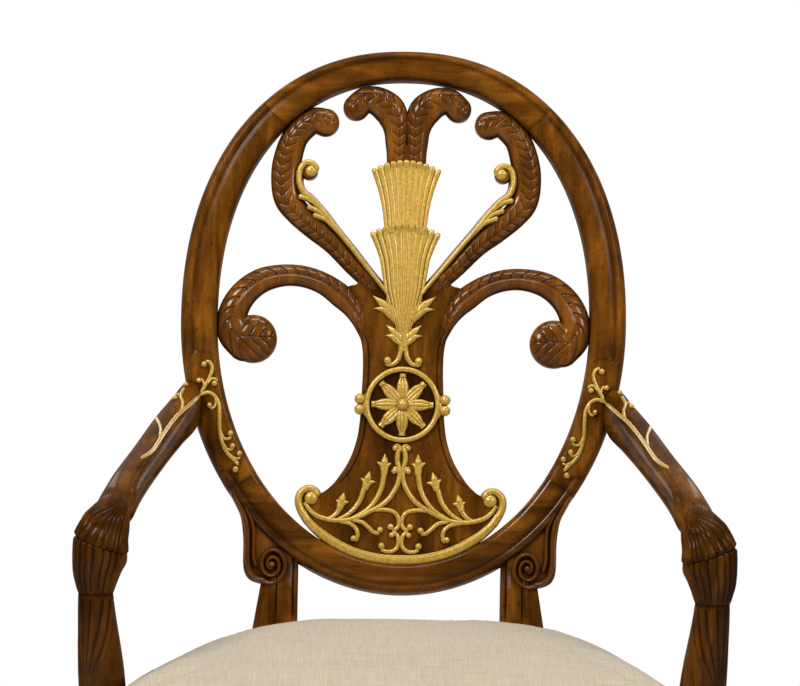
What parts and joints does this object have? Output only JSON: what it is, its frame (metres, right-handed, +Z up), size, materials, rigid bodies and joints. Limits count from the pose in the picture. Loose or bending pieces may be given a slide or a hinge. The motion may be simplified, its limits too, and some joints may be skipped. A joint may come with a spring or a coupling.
{
  "type": "oval back armchair",
  "caption": "Armchair with a carved, pierced oval back and gilt ornament, scrolled arms on fluted supports and a domed linen seat, for sitting at a dining table.",
  "frame": {"origin": "on the floor, under the middle of the chair's box", "axes": "+Z up, the front of the chair towards -Y, the sitter's left towards +X"},
  "size_m": [0.5888, 0.567, 1.0384],
  "materials": {
    "mahogany": "polished dark stain, lightly distressed",
    "gilt": "gold leaf on carved wood",
    "linen": "plain weave",
    "beech": "bare",
    "padding": "soft filling",
    "webbing": "woven jute",
    "cambric": "matt black cloth",
    "steel": "plain",
    "nylon": "moulded"
  },
  "bodies": {
    "root": {"acanthus_left": "gilt", "acanthus_right": "gilt", "arm_dowel_left": "beech", "arm_dowel_right": "beech", "arm_left": "mahogany", "arm_right": "mahogany", "arm_scroll_left": "gilt", "arm_scroll_right": "gilt", "arm_support_left": "mahogany", "arm_support_right": "mahogany", "back_splat": "mahogany", "bracket_dowel_left": "beech", "bracket_dowel_right": "beech", "corner_block_front_left": "beech", "corner_block_front_right": "beech", "corner_block_rear_left": "beech", "corner_block_rear_right": "beech", "crest_dowel_left": "beech", "crest_dowel_right": "beech", "crest_rail": "mahogany", "dust_cover": "cambric", "foliage_left": "gilt", "foliage_right": "gilt", "foot_rim": "gilt", "front_leg_left": "mahogany", "front_leg_right": "mahogany", "front_rail": "beech", "glide_front_left": "nylon", "glide_front_right": "nylon", "glide_rear_left": "nylon", "glide_rear_right": "nylon", "knuckle_dowel_left": "beech", "knuckle_dowel_right": "beech", "linen_cover": "linen", "lower_dowel_left": "beech", "lower_dowel_right": "beech", "lower_rail": "mahogany", "lower_sheaf": "gilt", "rear_leg_left": "mahogany", "rear_leg_right": "mahogany", "rear_rail": "beech", "rosette": "gilt", "roundel_ring": "gilt", "seat_padding": "padding", "seat_webbing": "webbing", "side_rail_left": "beech", "side_rail_right": "beech", "splat_dowel_left": "beech", "splat_dowel_right": "beech", "stile_left": "mahogany", "stile_right": "mahogany", "stile_scroll_left": "gilt", "stile_scroll_right": "gilt", "support_bolt_left": "steel", "support_bolt_right": "steel", "upper_sheaf": "gilt"}
  },
  "joints": []
}
